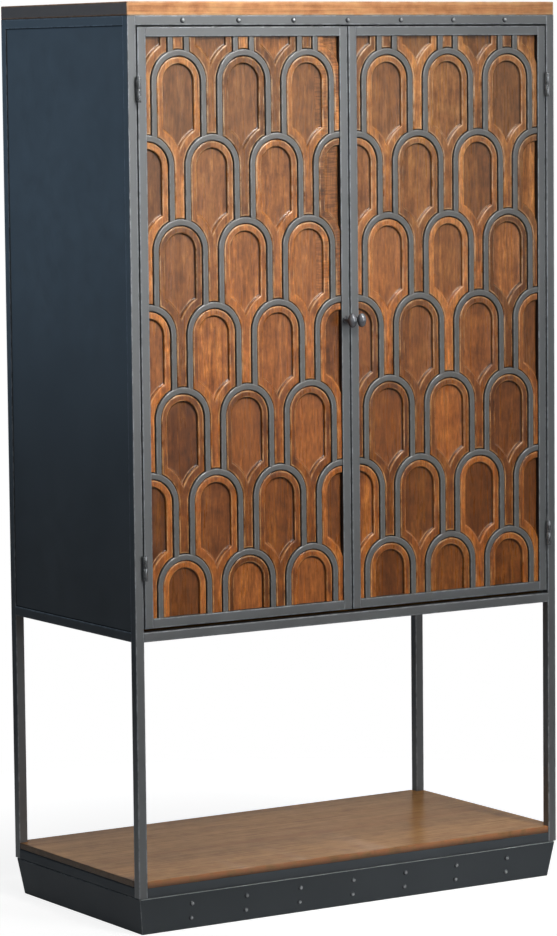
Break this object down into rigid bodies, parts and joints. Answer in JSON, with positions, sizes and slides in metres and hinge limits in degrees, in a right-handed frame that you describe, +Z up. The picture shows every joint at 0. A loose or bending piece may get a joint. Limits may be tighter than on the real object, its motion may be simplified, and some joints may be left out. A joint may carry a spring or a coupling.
{
  "type": "bar armoire",
  "caption": "Tall bar armoire: steel tube frame, wooden top, paired doors of arched steel bars over carved wood, open bay with a shelf, and a tapered riveted plinth.",
  "frame": {"origin": "on the floor, under the centre of the box round the whole cabinet, knobs included", "axes": "+X to the right seen from the front, +Y to the back, +Z up"},
  "size_m": [1.016, 0.5424, 1.829],
  "materials": {
    "frame_paint": "satin gunmetal paint",
    "sheet_paint": "satin blue-black paint",
    "plinth_paint": "satin charcoal paint",
    "grille_paint": "satin gunmetal paint, rubbed at the edges",
    "rivet_steel": "dark steel, rubbed bright on the crown",
    "dark_hardware": "blackened steel, satin",
    "bright_steel": "plain steel",
    "catch_body": "black moulded plastic round a magnet",
    "top_wood": "satin lacquered hardwood, honey brown",
    "door_wood": "satin lacquered hardwood, warm brown",
    "shelf_wood": "satin lacquered hardwood, brown"
  },
  "bodies": {
    "cabinet": {"back_panel": "sheet_paint", "bay_shelf": "shelf_wood", "cabinet_floor": "shelf_wood", "corner_plates": "frame_paint", "door_catches": "catch_body", "floor_lugs": "frame_paint", "frame_hinge_barrels": "dark_hardware", "front_left_post": "frame_paint", "front_lower_rail": "frame_paint", "front_mid_rail": "frame_paint", "front_right_post": "frame_paint", "front_top_rail": "frame_paint", "hinge_pins": "bright_steel", "inner_shelf_1": "shelf_wood", "inner_shelf_2": "shelf_wood", "left_lower_rail": "frame_paint", "left_mid_rail": "frame_paint", "left_side_panel": "sheet_paint", "left_top_rail": "frame_paint", "plinth_front": "plinth_paint", "plinth_left": "plinth_paint", "plinth_rear": "plinth_paint", "plinth_right": "plinth_paint", "plinth_rivets": "rivet_steel", "rear_left_post": "frame_paint", "rear_lower_rail": "frame_paint", "rear_mid_rail": "frame_paint", "rear_right_post": "frame_paint", "rear_top_rail": "frame_paint", "right_lower_rail": "frame_paint", "right_mid_rail": "frame_paint", "right_side_panel": "sheet_paint", "right_top_rail": "frame_paint", "shelf_cleats": "frame_paint", "stemware_hangers": "bright_steel", "stemware_slats": "bright_steel", "top_board": "top_wood", "top_rail_rivets": "rivet_steel"},
    "left_door": {"left_door_arch_grille": "grille_paint", "left_door_bottom_rail": "frame_paint", "left_door_carved_panel": "door_wood", "left_door_hinge_barrels": "dark_hardware", "left_door_hinge_stile": "frame_paint", "left_door_knob": "dark_hardware", "left_door_meeting_stile": "frame_paint", "left_door_panel_clips": "frame_paint", "left_door_strike_plate": "bright_steel", "left_door_top_rail": "frame_paint"},
    "right_door": {"right_door_arch_grille": "grille_paint", "right_door_bottom_rail": "frame_paint", "right_door_carved_panel": "door_wood", "right_door_hinge_barrels": "dark_hardware", "right_door_hinge_stile": "frame_paint", "right_door_knob": "dark_hardware", "right_door_meeting_stile": "frame_paint", "right_door_panel_clips": "frame_paint", "right_door_strike_plate": "bright_steel", "right_door_top_rail": "frame_paint"}
  },
  "joints": [
    {"name": "left_door_hinge", "type": "hinge", "parent": "cabinet", "child": "left_door", "pos_m": [-0.4875, -0.24195, 1.195], "axis": [0, 0, -1], "range_deg": [0, 180]},
    {"name": "right_door_hinge", "type": "hinge", "parent": "cabinet", "child": "right_door", "pos_m": [0.4875, -0.24195, 1.195], "axis": [0, 0, 1], "range_deg": [0, 180]}
  ]
}
